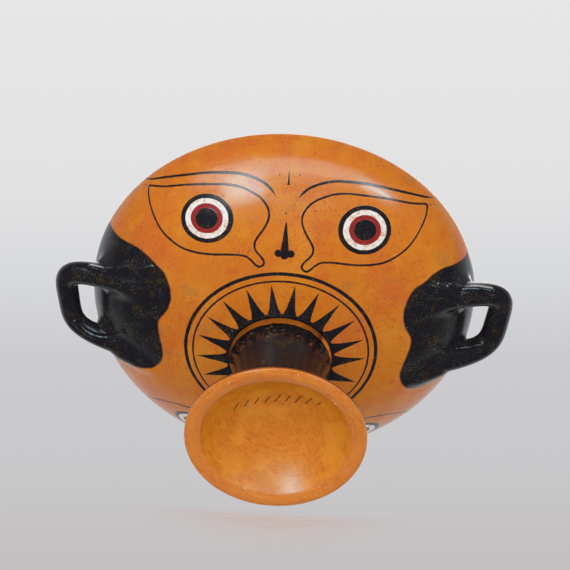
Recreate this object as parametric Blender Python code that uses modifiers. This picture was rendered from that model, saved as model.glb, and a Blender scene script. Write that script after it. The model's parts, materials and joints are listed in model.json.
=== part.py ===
"""A stemmed two-handled drinking cup in painted terracotta.

The cup stands on its foot at z = 0, and its axis is the Z axis. The handles point along +X and -X.
All sizes are in metres. Heights are measured from the table.
"""
import bpy
import bmesh
from math import atan2, cos, pi, radians, sin

# Bowl
RIM_RADIUS = 0.0925
CUP_HEIGHT = 0.1082
WALL = 0.0046
RIM_EDGE = 0.0034
RIM_FLARE = 0.0008
BOWL_SIDE = 0.0200
BOWL_BASE_HEIGHT = 0.0582
BOWL_BASE_SPREAD = 0.0478
BOWL_BASE_SLOPE = radians(11.0)

# Ring at the top of the stem, and the stem
COLLAR_RADIUS = 0.0242
COLLAR_HEIGHT = 0.0030
STEM_TOP_RADIUS = 0.0230
STEM_WAIST_RADIUS = 0.0226
STEM_WAIST_HEIGHT = 0.0400

# Foot
FOOT_RADIUS = 0.0408
FOOT_EDGE = 0.0028
FOOT_EDGE_ROUND = 0.0008
FOOT_RING = 0.0066
FOOT_RISE = 0.0250
HOLLOW_DEPTH = 0.0190

# Handles: each is a squared loop that rises outward from two roots in the bowl's wall.
# The overhang and the insets are measured from the rim, and the drops from the rim's top.
HANDLE_THICKNESS = 0.0112
HANDLE_ROOT_THICKNESS = 0.0175
HANDLE_OVERHANG = 0.0109
HANDLE_ROOT_INSET = 0.0325
HANDLE_DROP = 0.0137
HANDLE_ROOT_DROP = 0.0257
HANDLE_HALF_WIDTH = 0.0190
HANDLE_SQUARENESS = 4.4
HANDLE_SPLAY = 0.0022

# Fineness of the meshes
ROUND_STEPS = 64
WALL_POINTS = 13
SMALL_POINTS = 4
HANDLE_POINTS = 33

CLAY_COLOUR = (0.55, 0.20, 0.05, 1.0)
CLAY_ROUGHNESS = 0.45


def clear_scene():
    """Remove every object that the file starts with."""
    for old in list(bpy.data.objects):
        bpy.data.objects.remove(old, do_unlink=True)


def make_collection(name, shown=True):
    """A collection for finished objects, or a hidden one for the shapes that cut or join."""
    group = bpy.data.collections.new(name)
    group.hide_render = not shown
    bpy.context.scene.collection.children.link(group)
    return group


def bezier(start, start_pull, end_pull, end, count):
    """Points along a cubic curve, with both ends."""
    points = []
    for i in range(count):
        t = i / (count - 1)
        s = 1.0 - t
        weights = (s ** 3, 3 * s * s * t, 3 * s * t * t, t ** 3)
        corners = (start, start_pull, end_pull, end)
        points.append(tuple(sum(w * p[axis] for w, p in zip(weights, corners)) for axis in (0, 1)))
    return points


def arc(centre, radius, first_angle, last_angle, count):
    """Points along an arc in the profile's plane, with both ends."""
    points = []
    for i in range(count):
        angle = first_angle + (last_angle - first_angle) * i / (count - 1)
        points.append((centre[0] + radius * cos(angle), centre[1] + radius * sin(angle)))
    return points


def bowl_outside():
    """The bowl's outer side, from the lip down to the collar at the stem."""
    lip = RIM_EDGE / 2
    top = (RIM_RADIUS, CUP_HEIGHT - lip)
    side = (RIM_RADIUS - RIM_FLARE, CUP_HEIGHT - BOWL_SIDE)
    spread = (COLLAR_RADIUS + BOWL_BASE_SPREAD * cos(BOWL_BASE_SLOPE),
              BOWL_BASE_HEIGHT + BOWL_BASE_SPREAD * sin(BOWL_BASE_SLOPE))
    base = (COLLAR_RADIUS, BOWL_BASE_HEIGHT)
    return bezier(top, side, spread, base, WALL_POINTS)


def inset(points, depth):
    """The same curve moved inward and upward by a depth, along its own normal."""
    moved = []
    for i, point in enumerate(points):
        before = points[max(i - 1, 0)]
        after = points[min(i + 1, len(points) - 1)]
        angle = atan2(after[1] - before[1], after[0] - before[0])
        moved.append((point[0] + depth * sin(angle), point[1] - depth * cos(angle)))
    return moved


def bowl_inside(depth):
    """The inner side at a depth inside the outer one, from the axis out and up to the lip."""
    wall = inset(bowl_outside(), depth)
    wall.reverse()
    floor_end = wall[0]
    slope = (wall[1][1] - wall[0][1]) / (wall[1][0] - wall[0][0])
    floor_height = floor_end[1] - slope * floor_end[0] / 2
    floor = bezier((0.0, floor_height), (floor_end[0] / 3, floor_height),
                   (floor_end[0] * 2 / 3, floor_end[1] - slope * floor_end[0] / 3),
                   floor_end, SMALL_POINTS + 1)
    return floor + wall[1:]


def stem_and_foot():
    """The stem's side, the top of the foot, its edge and its flat ring, from the collar down."""
    neck = arc((COLLAR_RADIUS - COLLAR_HEIGHT / 2, BOWL_BASE_HEIGHT - COLLAR_HEIGHT / 2),
               COLLAR_HEIGHT / 2, pi / 3, -pi / 2, SMALL_POINTS + 1)
    stem_top = BOWL_BASE_HEIGHT - COLLAR_HEIGHT
    stem = [(STEM_TOP_RADIUS, stem_top), (STEM_WAIST_RADIUS, STEM_WAIST_HEIGHT)]
    edge_top = (FOOT_RADIUS - FOOT_EDGE_ROUND, FOOT_EDGE)
    sweep = bezier(stem[1], (STEM_WAIST_RADIUS, STEM_WAIST_HEIGHT - FOOT_RISE),
                   (edge_top[0] - (FOOT_RADIUS - STEM_WAIST_RADIUS) / 2, edge_top[1] + FOOT_RISE / 4),
                   edge_top, 2 * SMALL_POINTS)
    edge = [(FOOT_RADIUS, FOOT_EDGE - FOOT_EDGE_ROUND), (FOOT_RADIUS, FOOT_EDGE_ROUND),
            (FOOT_RADIUS - FOOT_EDGE_ROUND, 0.0)]
    return neck[:-1] + stem + sweep[1:] + edge


def foot_hollow():
    """The dished underside, from the flat ring's inner edge in and up to the axis."""
    ring_inside = FOOT_RADIUS - FOOT_RING
    return bezier((ring_inside, 0.0), (ring_inside * 0.78, HOLLOW_DEPTH * 0.62),
                  (ring_inside * 0.45, HOLLOW_DEPTH), (0.0, HOLLOW_DEPTH), 2 * SMALL_POINTS)


def lip():
    """The rounded lip, over the top from the inner side to the outer one."""
    radius = RIM_EDGE / 2
    return arc((RIM_RADIUS - radius, CUP_HEIGHT - radius), radius, pi, 0.0, SMALL_POINTS + 2)


def turned(name, profile, group):
    """A solid turned about Z from a profile that starts and ends on the axis."""
    mesh = bpy.data.meshes.new(name)
    edges = [(i, i + 1) for i in range(len(profile) - 1)]
    mesh.from_pydata([(x, 0.0, z) for x, z in profile], edges, [])
    solid = bpy.data.objects.new(name, mesh)
    group.objects.link(solid)
    screw = solid.modifiers.new("turn", "SCREW")
    screw.axis = "Z"
    screw.angle = 2 * pi
    screw.steps = ROUND_STEPS
    screw.render_steps = ROUND_STEPS
    screw.use_merge_vertices = True
    screw.merge_threshold = 0.00001
    screw.use_normal_calculate = True
    screw.use_smooth_shade = True
    return solid


def cup_profile():
    """The whole section of the cup without its handles, all the way round."""
    inside = bowl_inside(WALL)
    edge = lip()
    inner_wall = [point for point in inside if point[1] < CUP_HEIGHT - RIM_EDGE]
    outside = bowl_outside()
    return inner_wall + edge[:-1] + outside[:-1] + stem_and_foot() + foot_hollow()


def core_profile():
    """A solid that fills the bowl to the middle of its wall, to trim the handles' ends."""
    middle = bowl_inside(WALL / 2)
    above = CUP_HEIGHT + WALL
    return [(0.0, above), (middle[-1][0], above)] + middle[::-1]


def handle_line(side):
    """The handle's centre line and half thickness, from one root round to the other.

    In plan the line is half of a superellipse. The splay makes the arm on the painted
    side a little longer, as on a handle that was bent by hand.
    """
    half = HANDLE_THICKNESS / 2
    root_half = HANDLE_ROOT_THICKNESS / 2
    power = 2.0 / HANDLE_SQUARENESS
    root_reach = RIM_RADIUS - HANDLE_ROOT_INSET
    length = HANDLE_OVERHANG + HANDLE_ROOT_INSET
    root_height = CUP_HEIGHT - HANDLE_ROOT_DROP
    rise = HANDLE_ROOT_DROP - HANDLE_DROP
    line = []
    for i in range(HANDLE_POINTS):
        turn = pi * i / (HANDLE_POINTS - 1)
        across = abs(cos(turn)) ** power * (1 if cos(turn) > 0 else -1)
        out = sin(turn) ** power if 0 < i < HANDLE_POINTS - 1 else 0.0
        x = root_reach + (length - HANDLE_SPLAY * across) * out
        z = root_height + rise * out ** 1.5
        thick = half + (root_half - half) * (1.0 - out) ** 2
        line.append((side * x, HANDLE_HALF_WIDTH * across, z, thick))
    return line


def handle(name, side, group):
    """One looped handle: a tube along its line, with filled ends, made into a mesh."""
    curve = bpy.data.curves.new(name, "CURVE")
    curve.dimensions = "3D"
    curve.bevel_depth = 1.0
    curve.bevel_resolution = 5
    curve.use_fill_caps = True
    spline = curve.splines.new("POLY")
    line = handle_line(side)
    spline.points.add(len(line) - 1)
    for knot, (x, y, z, thick) in zip(spline.points, line):
        knot.co = (x, y, z, 1.0)
        knot.radius = thick
    tube = bpy.data.objects.new(name + "_line", curve)
    group.objects.link(tube)
    bpy.context.view_layer.update()
    mesh = bpy.data.meshes.new_from_object(tube)
    mesh.name = name
    solid = bpy.data.objects.new(name, mesh)
    solid.matrix_world = tube.matrix_world.copy()
    group.objects.link(solid)
    bpy.data.objects.remove(tube, do_unlink=True)
    weld = bmesh.new()
    weld.from_mesh(mesh)
    bmesh.ops.remove_doubles(weld, verts=weld.verts, dist=0.00001)
    bmesh.ops.recalc_face_normals(weld, faces=weld.faces)
    for face in weld.faces:
        face.smooth = True
    weld.to_mesh(mesh)
    weld.free()
    return solid


def combine(solid, other, operation, name):
    """Join another solid to this one, or cut it away."""
    change = solid.modifiers.new(name, "BOOLEAN")
    change.operation = operation
    change.solver = "EXACT"
    change.object = other


def clay_material():
    """Polished terracotta."""
    clay = bpy.data.materials.new("painted_terracotta")
    clay.use_nodes = True
    shader = clay.node_tree.nodes["Principled BSDF"]
    shader.inputs["Base Color"].default_value = CLAY_COLOUR
    shader.inputs["Roughness"].default_value = CLAY_ROUGHNESS
    shader.inputs["Metallic"].default_value = 0.0
    return clay


def build_kylix():
    """The cup as one fired piece: bowl, stem and foot turned together, and two handles."""
    finished = make_collection("kylix")
    hidden = make_collection("joining_shapes", shown=False)
    kylix = turned("kylix", cup_profile(), finished)
    core = turned("wall_core", core_profile(), hidden)
    for name, side in (("handle_right", 1), ("handle_left", -1)):
        loop = handle(name, side, hidden)
        combine(loop, core, "DIFFERENCE", "trim_to_wall")
        combine(kylix, loop, "UNION", "join_" + name)
        loop.display_type = "WIRE"
    core.display_type = "WIRE"
    kylix.data.materials.append(clay_material())
    return kylix


clear_scene()
build_kylix()
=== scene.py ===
# %% [markdown]
# # A painted eye cup
#
# This cup is a wide shallow bowl on a short stem, with two looped handles. It is thrown and
# turned on a wheel from orange clay, joined while the clay is damp, painted with a clay slip
# that fires black, and polished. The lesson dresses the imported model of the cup: one fired
# piece, so one mesh, with all of its painting in one procedural material.
#
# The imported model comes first, because it fixes the size and the place of everything.

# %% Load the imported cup
import json
import bmesh
import bpy
import numpy as np
from functools import reduce
from math import cos, pi, radians, sin
from mathutils import Matrix, Vector

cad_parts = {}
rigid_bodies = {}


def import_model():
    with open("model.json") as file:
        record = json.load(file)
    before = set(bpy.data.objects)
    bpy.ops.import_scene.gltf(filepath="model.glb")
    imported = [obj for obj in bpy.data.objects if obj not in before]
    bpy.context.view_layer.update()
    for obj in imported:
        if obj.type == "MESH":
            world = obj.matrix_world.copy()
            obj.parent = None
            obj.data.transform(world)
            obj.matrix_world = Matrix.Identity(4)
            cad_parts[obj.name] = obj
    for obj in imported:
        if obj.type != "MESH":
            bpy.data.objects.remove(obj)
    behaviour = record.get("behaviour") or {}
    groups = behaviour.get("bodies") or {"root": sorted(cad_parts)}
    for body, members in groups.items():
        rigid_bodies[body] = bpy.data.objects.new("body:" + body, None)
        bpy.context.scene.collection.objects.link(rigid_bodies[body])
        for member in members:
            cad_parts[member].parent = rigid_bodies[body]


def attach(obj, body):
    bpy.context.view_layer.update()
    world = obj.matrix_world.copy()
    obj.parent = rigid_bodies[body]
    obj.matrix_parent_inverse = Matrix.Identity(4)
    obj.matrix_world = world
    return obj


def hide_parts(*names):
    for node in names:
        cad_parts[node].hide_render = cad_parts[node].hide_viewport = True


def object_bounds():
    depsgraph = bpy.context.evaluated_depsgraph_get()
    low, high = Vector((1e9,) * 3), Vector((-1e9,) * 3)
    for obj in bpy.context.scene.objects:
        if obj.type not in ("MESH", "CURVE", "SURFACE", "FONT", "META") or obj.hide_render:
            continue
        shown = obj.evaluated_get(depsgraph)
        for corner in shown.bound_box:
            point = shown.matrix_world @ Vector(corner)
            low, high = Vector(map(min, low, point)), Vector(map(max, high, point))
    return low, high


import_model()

CAD_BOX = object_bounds()
print("the packed cup spans", [round(high - low, 4) for low, high in zip(*CAD_BOX)], "m")

# %% [markdown]
# ## Camera
#
# The cup was photographed from a distance with a long lens, lying on its side, with the
# underside of its foot towards us. Here the cup stands on its foot, so the camera goes low and
# looks up. Its axes are given as three directions, because a camera that looks up so steeply and
# leans a little is hard to aim with angles.

# %% Camera
MM = 0.001
VIEW_FROM = Vector((0.345, -597.56, -662.41)) * MM
VIEW_ALONG = Vector((0.0, 0.61028, 0.79218))
VIEW_RIGHT = Vector((0.99839, -0.04491, 0.03460))
VIEW_UP = Vector((-0.05669, -0.79091, 0.60930))
LENS = 126.3


def placed_object(name, data):
    """An object for a mesh, a camera or a lamp, at the origin."""
    thing = bpy.data.objects.new(name, data)
    bpy.context.scene.collection.objects.link(thing)
    return thing


def aim(thing, place, along, right, up):
    """Put a camera or a lamp at a place, looking along one direction."""
    turn = Matrix((right, up, -along)).transposed().to_4x4()
    thing.matrix_world = Matrix.Translation(place) @ turn


camera_data = bpy.data.cameras.new("camera")
camera_data.lens = LENS
camera_data.clip_start = 0.01
camera = placed_object("camera", camera_data)
aim(camera, VIEW_FROM, VIEW_ALONG, VIEW_RIGHT, VIEW_UP)
bpy.context.scene.camera = camera
print("camera", round(VIEW_FROM.length, 3), "m from the foot")

# %% [markdown]
# ## The section of the bowl
#
# A potter checks a bowl with a rib cut to its section. The section here is drawn in millimetres
# as radius and height, with nearly the same sizes as the solid model. The collar is rounder and
# the stem a little thinner, and the points are closer, so that the wall is smooth and the
# painting has somewhere to sit.

# %% Section
RIM_RADIUS = 92.5
CUP_HEIGHT = CAD_BOX[1][2] / MM
WALL = 4.6
RIM_EDGE = 3.4
BOWL_FOOT = 24.2
BOWL_BASE = 58.2
BASE_SLOPE = radians(11.0)
BASE_PULL = 47.8
COLLAR_RADIUS = 23.6
COLLAR_ROUND = 2.4
COLLAR_MIDDLE = 55.0
STEM_RADIUS = 22.0
STEM_WAIST = 40.0
FOOT_RADIUS = 40.8
FOOT_EDGE = 2.8
FOOT_EDGE_ROUND = 0.8
RING_INSIDE = FOOT_RADIUS - 6.6
HOLLOW_DEPTH = 19.0
OUTSIDE_POINTS = 84
INSIDE_POINTS = 34


def bezier(points, count):
    """Points along a cubic curve, with both ends."""
    t = np.linspace(0.0, 1.0, count)[:, None]
    s = 1.0 - t
    a, b, c, d = np.array(points)
    return s ** 3 * a + 3 * s * s * t * b + 3 * s * t * t * c + t ** 3 * d


def arc(centre, radius, first, last, count):
    """Points along an arc, with both ends."""
    turn = np.linspace(first, last, count)
    return np.array(centre) + radius * np.stack([np.cos(turn), np.sin(turn)], 1)


def run_along(steps):
    """How far along a line each of its points lies, from the lengths of its steps."""
    return np.concatenate([[0.0], np.cumsum(steps)])


def evenly(points, count, steps=None):
    """The same line with its points spread evenly along it."""
    along = run_along(np.hypot(*np.diff(points, axis=0).T) if steps is None else steps)
    wanted = np.linspace(0.0, along[-1], count)
    return np.stack([np.interp(wanted, along, column) for column in points.T], 1)


def inset(points, depth):
    """The same line moved into the clay by a depth."""
    along = np.gradient(points, axis=0)
    along /= np.hypot(*along.T)[:, None]
    return points + depth * np.stack([along[:, 1], -along[:, 0]], 1)


outside = bezier([(RIM_RADIUS, CUP_HEIGHT - RIM_EDGE / 2),
                  (RIM_RADIUS - 0.8, CUP_HEIGHT - 20.0),
                  (BOWL_FOOT + BASE_PULL * cos(BASE_SLOPE),
                   BOWL_BASE + BASE_PULL * sin(BASE_SLOPE)),
                  (BOWL_FOOT, BOWL_BASE)], 400)
outside = evenly(outside, OUTSIDE_POINTS)


def bowl_inside(depth, count):
    """The inner side at a depth below the outer one, from the axis out and up to the lip."""
    wall = inset(outside, depth)[::-1]
    slope = (wall[1, 1] - wall[0, 1]) / (wall[1, 0] - wall[0, 0])
    reach, height = wall[0]
    floor = height - slope * reach / 2
    middle = bezier([(0.0, floor), (reach / 3, floor),
                     (reach * 2 / 3, height - slope * reach / 3), wall[0]], 12)
    whole = np.concatenate([middle[:-1], wall])
    return evenly(whole[whole[:, 1] < CUP_HEIGHT - RIM_EDGE], count)


inside = bowl_inside(WALL, INSIDE_POINTS)
lip = arc((RIM_RADIUS - RIM_EDGE / 2, CUP_HEIGHT - RIM_EDGE / 2), RIM_EDGE / 2, pi, 0.0, 9)
collar = arc((COLLAR_RADIUS - COLLAR_ROUND, COLLAR_MIDDLE), COLLAR_ROUND,
             radians(68.0), radians(-58.0), 9)
stem = evenly(np.array([collar[-1] + (-0.1, -0.1), (STEM_RADIUS, STEM_WAIST)]), 6)
edge_top = (FOOT_RADIUS - FOOT_EDGE_ROUND, FOOT_EDGE)
foot_top = evenly(bezier([(STEM_RADIUS, STEM_WAIST), (STEM_RADIUS, STEM_WAIST - 25.0),
                          (edge_top[0] - (FOOT_RADIUS - STEM_RADIUS) / 2, FOOT_EDGE + 6.25),
                          edge_top], 80), 16)
foot_edge = np.array([(FOOT_RADIUS - 0.25, FOOT_EDGE - 0.2), (FOOT_RADIUS, FOOT_EDGE - 0.8),
                      (FOOT_RADIUS, 0.8), (FOOT_RADIUS - 0.25, 0.22), (FOOT_RADIUS - 0.8, 0.0)])
hollow = evenly(bezier([(RING_INSIDE, 0.0), (RING_INSIDE * 0.78, HOLLOW_DEPTH * 0.62),
                        (RING_INSIDE * 0.45, HOLLOW_DEPTH), (0.0, HOLLOW_DEPTH)], 80), 26)
section = np.concatenate([inside, lip[:-1], outside[:-1], collar[:-1], stem, foot_top[1:],
                          foot_edge, hollow])
section[0, 0] = 0.0
section[-1, 0] = 0.0
print("the section has", len(section), "points")

# %% [markdown]
# ## Throwing the body
#
# The body follows one rule: every point of the section runs in a circle about the axis. A Screw
# modifier would do it. A node tree does the same and can also add what a wheel leaves behind, a
# slight unevenness, from a noise with a fixed seed. A flat grid is bent round: one side of the
# grid counts points of the section and the other counts steps round the wheel.

# %% Node helpers
SEAM = 0.000002


def feed(tree, socket, source):
    """Link a node's first output, a field or a socket to an input, or set a plain value."""
    if isinstance(source, bpy.types.Node):
        source = source.outputs[0]
    source = getattr(source, "socket", source)
    if isinstance(source, bpy.types.NodeSocket):
        tree.links.new(source, socket)
    else:
        socket.default_value = source


def plug(tree, kind, inputs, **settings):
    """A new node with its settings, and with values or links on its inputs."""
    node = tree.nodes.new(kind)
    for setting, value in settings.items():
        setattr(node, setting, value)
    for socket, source in inputs.items():
        feed(tree, node.inputs[socket], source)
    return node


def maths(tree, operation, *values, **settings):
    """A Math node."""
    return plug(tree, "ShaderNodeMath", dict(enumerate(values)), operation=operation, **settings)


def vector_maths(tree, operation, *values, **inputs):
    """A Vector Math node."""
    return plug(tree, "ShaderNodeVectorMath", {**dict(enumerate(values)), **inputs},
                operation=operation)


def map_range(tree, value, low, high, start=0.0, end=1.0, kind="SMOOTHSTEP"):
    """A Map Range node that rises from start to end while the value goes from low to high."""
    return plug(tree, "ShaderNodeMapRange",
                {"Value": value, "From Min": low, "From Max": high, "To Min": start,
                 "To Max": end}, interpolation_type=kind)


def grow_tree(name, inputs):
    """A new geometry node tree with a geometry input and output and some named inputs."""
    tree = bpy.data.node_groups.new(name, "GeometryNodeTree")
    tree.interface.new_socket("Geometry", in_out="OUTPUT", socket_type="NodeSocketGeometry")
    for label, kind in [("Geometry", "Geometry")] + inputs:
        tree.interface.new_socket(label, in_out="INPUT", socket_type="NodeSocket" + kind)
    return tree, tree.nodes.new("NodeGroupInput")


def finish_tree(tree, group_in, mesh):
    """Round shading, real geometry and a material, at the end of every tree here."""
    smooth = plug(tree, "GeometryNodeSetShadeSmooth", {"Geometry": mesh})
    real = plug(tree, "GeometryNodeRealizeInstances", {"Geometry": smooth})
    painted = plug(tree, "GeometryNodeSetMaterial",
                   {"Geometry": real, "Material": group_in.outputs["Finish"]})
    plug(tree, "NodeGroupOutput", {0: painted})


def evaluated_mesh(thing):
    """A plain mesh of an object with its modifiers carried out."""
    bpy.context.view_layer.update()
    seen = thing.evaluated_get(bpy.context.evaluated_depsgraph_get())
    return bpy.data.meshes.new_from_object(seen)


def grown(name, start, tree, values):
    """The plain mesh that a node tree makes from a starting mesh."""
    grower = placed_object(name, start)
    modifier = grower.modifiers.new("grow", "NODES")
    modifier.node_group = tree
    for item in tree.interface.items_tree:
        if item.in_out == "INPUT" and item.name in values:
            modifier[item.identifier] = values[item.name]
    result = evaluated_mesh(grower)
    bpy.data.objects.remove(grower, do_unlink=True)
    tidy = bmesh.new()
    tidy.from_mesh(result)
    bmesh.ops.recalc_face_normals(tidy, faces=tidy.faces)
    tidy.to_mesh(result)
    tidy.free()
    result.name = name
    return result


def line_mesh(name, points):
    """A mesh of points joined in a row, in metres."""
    mesh = bpy.data.meshes.new(name)
    links = [(i, i + 1) for i in range(len(points) - 1)]
    mesh.from_pydata([tuple(float(c) * MM for c in point) for point in points], links, [])
    return mesh


paint = bpy.data.materials.new("painted_terracotta_finish")

# %% Turned body
STEPS_AROUND = 420
UNEVENNESS = 0.3

wheel, wheel_in = grow_tree("turned_on_a_wheel", [
    ("Steps around", "Int"), ("Unevenness", "Float"), ("Seed", "Float"), ("Finish", "Material")])
rows = plug(wheel, "GeometryNodeAttributeDomainSize", {"Geometry": wheel_in})
rows = rows.outputs["Point Count"]
columns = maths(wheel, "ADD", wheel_in.outputs["Steps around"], 1.0)
grid = plug(wheel, "GeometryNodeMeshGrid", {"Size X": 1.0, "Size Y": 1.0,
                                            "Vertices X": rows, "Vertices Y": columns})
apart = plug(wheel, "ShaderNodeSeparateXYZ", {0: plug(wheel, "GeometryNodeInputPosition", {})})
from_start = maths(wheel, "ADD", apart.outputs[0], 0.5)
row = maths(wheel, "MULTIPLY", from_start, maths(wheel, "SUBTRACT", rows, 1.0))
on_section = plug(wheel, "GeometryNodeSampleIndex",
                  {"Geometry": wheel_in, "Value": plug(wheel, "GeometryNodeInputPosition", {}),
                   "Index": maths(wheel, "ROUND", row)},
                  data_type="FLOAT_VECTOR", domain="POINT")
spun = plug(wheel, "ShaderNodeVectorRotate",
            {"Vector": on_section, "Angle": maths(wheel, "MULTIPLY", apart.outputs[1], 2 * pi)},
            rotation_type="Z_AXIS")
rough = plug(wheel, "ShaderNodeTexNoise", {"Vector": spun, "Scale": 22.0, "Detail": 1.0,
                                           "W": wheel_in.outputs["Seed"]},
             noise_dimensions="4D")
swell = maths(wheel, "MULTIPLY", maths(wheel, "SUBTRACT", rough, 0.5),
              wheel_in.outputs["Unevenness"])
outward = vector_maths(wheel, "NORMALIZE", vector_maths(wheel, "MULTIPLY", spun, (1.0, 1.0, 0.0)))
push = vector_maths(wheel, "SCALE", outward, Scale=swell)
round_body = plug(wheel, "GeometryNodeSetPosition",
                  {"Geometry": grid, "Position": vector_maths(wheel, "ADD", spun, push)})
finish_tree(wheel, wheel_in, plug(wheel, "GeometryNodeMergeByDistance",
                                  {"Geometry": round_body, "Distance": SEAM}))


def throw(name, points, steps, unevenness=0.0):
    """A body turned on the wheel from a section of (radius, height) in millimetres."""
    start = line_mesh(name + "_section", [(radius, 0.0, height) for radius, height in points])
    return grown(name, start, wheel, {"Steps around": steps, "Unevenness": unevenness * MM,
                                      "Seed": 4.0, "Finish": paint})


body_mesh = throw("turned_body", section, STEPS_AROUND, unevenness=UNEVENNESS)
print("turned body:", len(body_mesh.vertices), "points")

# %% [markdown]
# ## Handles
#
# Each handle is a rolled coil of clay, bent into a squarish loop, and stuck to the bowl at two
# roots, which the potter smooths out into the wall. In plan the loop is half of a superellipse.
# A curve with a bevel would make the coil; the node tree sweeps a circle along the same line
# and reads the coil's thickness from the line's points.

# %% Handles
HANDLE_HALF = 5.6
HANDLE_ROOT_HALF = 8.75
HANDLE_OVERHANG = 10.9
ROOT_DEPTH = 32.5
ROOT_DROP = 25.7
TIP_DROP = 13.7
HANDLE_ROOT_REACH = RIM_RADIUS - ROOT_DEPTH
HANDLE_LENGTH = HANDLE_OVERHANG + ROOT_DEPTH
HANDLE_ROOT_HEIGHT = CUP_HEIGHT - ROOT_DROP
HANDLE_RISE = ROOT_DROP - TIP_DROP
HANDLE_HALF_WIDTH = 19.0
HANDLE_SQUARENESS = 4.4
HANDLE_SPLAY = 2.2
ARM_SHIFT = {1: (-1.4, -0.5), -1: (-0.7, 0.8)}
LOWER_ARM_THICKER = {1: 0.4, -1: -0.7}
COIL_STEPS = 170
COIL_SIDES = 40


def handle_line(side, count):
    """Points of the coil's middle as (x, y, z) and the coil's half thickness there."""
    turn = np.linspace(0.0, pi, 1600)
    power = 2.0 / HANDLE_SQUARENESS
    across = np.abs(np.cos(turn)) ** power * np.sign(np.cos(turn))
    out = np.clip(np.sin(turn), 0.0, 1.0) ** power
    out[[0, -1]] = 0.0
    line = np.stack([HANDLE_ROOT_REACH + (HANDLE_LENGTH - HANDLE_SPLAY * across) * out,
                     HANDLE_HALF_WIDTH * across,
                     HANDLE_ROOT_HEIGHT + HANDLE_RISE * out ** 1.5,
                     HANDLE_HALF + (HANDLE_ROOT_HALF - HANDLE_HALF) * (1.0 - out) ** 2], 1)
    upper, lower = ARM_SHIFT[side]
    line[:, 1] += upper * (1.0 - across) / 2 + lower * (1.0 + across) / 2
    line[:, 3] += LOWER_ARM_THICKER[side] * (1.0 + across) / 2
    line[:, 0] *= side
    return evenly(line, count, np.linalg.norm(np.diff(line[:, :3], axis=0), axis=1))


coil, coil_in = grow_tree("rolled_coil", [("Sides", "Int"), ("Finish", "Material")])
thickness = plug(coil, "GeometryNodeInputNamedAttribute", {"Name": "half_thickness"},
                 data_type="FLOAT")
path = plug(coil, "GeometryNodeMeshToCurve", {"Mesh": coil_in})
sized = plug(coil, "GeometryNodeSetCurveRadius", {"Curve": path, "Radius": thickness})
circle = plug(coil, "GeometryNodeCurvePrimitiveCircle",
              {"Resolution": coil_in.outputs["Sides"], "Radius": 1.0})
swept = plug(coil, "GeometryNodeCurveToMesh",
             {"Curve": sized, "Profile Curve": circle, "Fill Caps": True})
if "Scale" in swept.inputs:
    feed(coil, swept.inputs["Scale"], thickness)
finish_tree(coil, coil_in, plug(coil, "GeometryNodeMergeByDistance",
                                {"Geometry": swept, "Distance": SEAM}))


def roll(name, side):
    """One coil of clay along its handle's line."""
    line = handle_line(side, COIL_STEPS)
    start = line_mesh(name + "_line", line[:, :3])
    half = start.attributes.new("half_thickness", "FLOAT", "POINT")
    half.data.foreach_set("value", line[:, 3] * MM)
    return grown(name, start, coil, {"Sides": COIL_SIDES, "Finish": paint})


handle_meshes = [roll("handle_right", 1), roll("handle_left", -1)]
print("handles:", [len(mesh.vertices) for mesh in handle_meshes], "points")

# %% [markdown]
# ## Joining
#
# The coils end inside the bowl's wall. A core that fills the bowl as far as the middle of the
# wall trims their ends, and then each coil is joined to the body, as the potter joins them with
# wet clay, so that the cup is one closed skin.

# %% Join the handles to the body
def combined(mesh, others, operation):
    """A mesh with others joined to it or cut from it."""
    base = placed_object("join_base", mesh)
    tools = [placed_object("join_tool", other) for other in others]
    for tool in tools:
        change = base.modifiers.new("join", "BOOLEAN")
        change.operation = operation
        change.solver = "MANIFOLD"
        change.object = tool
    result = evaluated_mesh(base)
    for thing in [base] + tools:
        bpy.data.objects.remove(thing, do_unlink=True)
    return result


core_top = CUP_HEIGHT + WALL
wall_middle = bowl_inside(WALL / 2, 30)
core_section = np.concatenate([[(0.0, core_top), (wall_middle[-1, 0], core_top)],
                               wall_middle[::-1]])
core_section[-1, 0] = 0.0
core_mesh = throw("wall_core", core_section, 120)
trimmed = [combined(mesh, [core_mesh], "DIFFERENCE") for mesh in handle_meshes]
cup_mesh = combined(body_mesh, trimmed, "UNION")
print("joined cup:", len(cup_mesh.vertices), "points,", len(cup_mesh.polygons), "faces")

# %% [markdown]
# ## Smoothing the roots
#
# Damp clay is wiped from the coil out over the wall, so the root has no crease. A bevel along
# such a crooked edge tears easily. Instead, each point near the crease moves to where a soft
# union of the two shapes has its skin: far from the crease that is the old skin, and near it
# the skin swells a little to bridge the two.

# %% Smooth the roots
ROOT_BLEND = 4.0
BLEND_ROUNDS = 5
CREASE_HALF = 0.5
WELD_GAP = 0.3
ROOT_TOP = 14.0
ROOT_RIDGES = [[(-77.0, 97.0, 0.8, 6.6), (-72.5, 88.0, 0.6, 5.2), (-68.5, 81.0, 0.8, 4.2),
                (-65.5, 76.0, 1.6, 3.4)],
               [(-78.0, 93.0, 3.0, 6.6), (-75.0, 82.0, 4.4, 6.4), (-73.0, 75.0, 5.8, 6.2)],
               [(-102.5, 97.0, 2.0, 7.4), (-106.0, 86.0, 2.6, 6.4), (-109.0, 77.0, 3.4, 5.4),
                (-111.0, 71.0, 4.8, 4.8)]]
handle_lines = [handle_line(1, 90), handle_line(-1, 90)]
skin_steps = np.hypot(*np.diff(outside[::-1], axis=0).T)
skin_run = BOWL_FOOT + run_along(skin_steps)[::-1]


def on_skin(degrees_round, reach, depth=0.0):
    """The place at an angle and a run along the bowl's skin, a depth below the skin."""
    wall = inset(outside, depth)
    radius = np.interp(reach, skin_run[::-1], wall[::-1, 0])
    height = np.interp(reach, skin_run[::-1], wall[::-1, 1])
    turned = radians(degrees_round)
    return np.array([radius * sin(turned), -radius * cos(turned), height])


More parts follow.
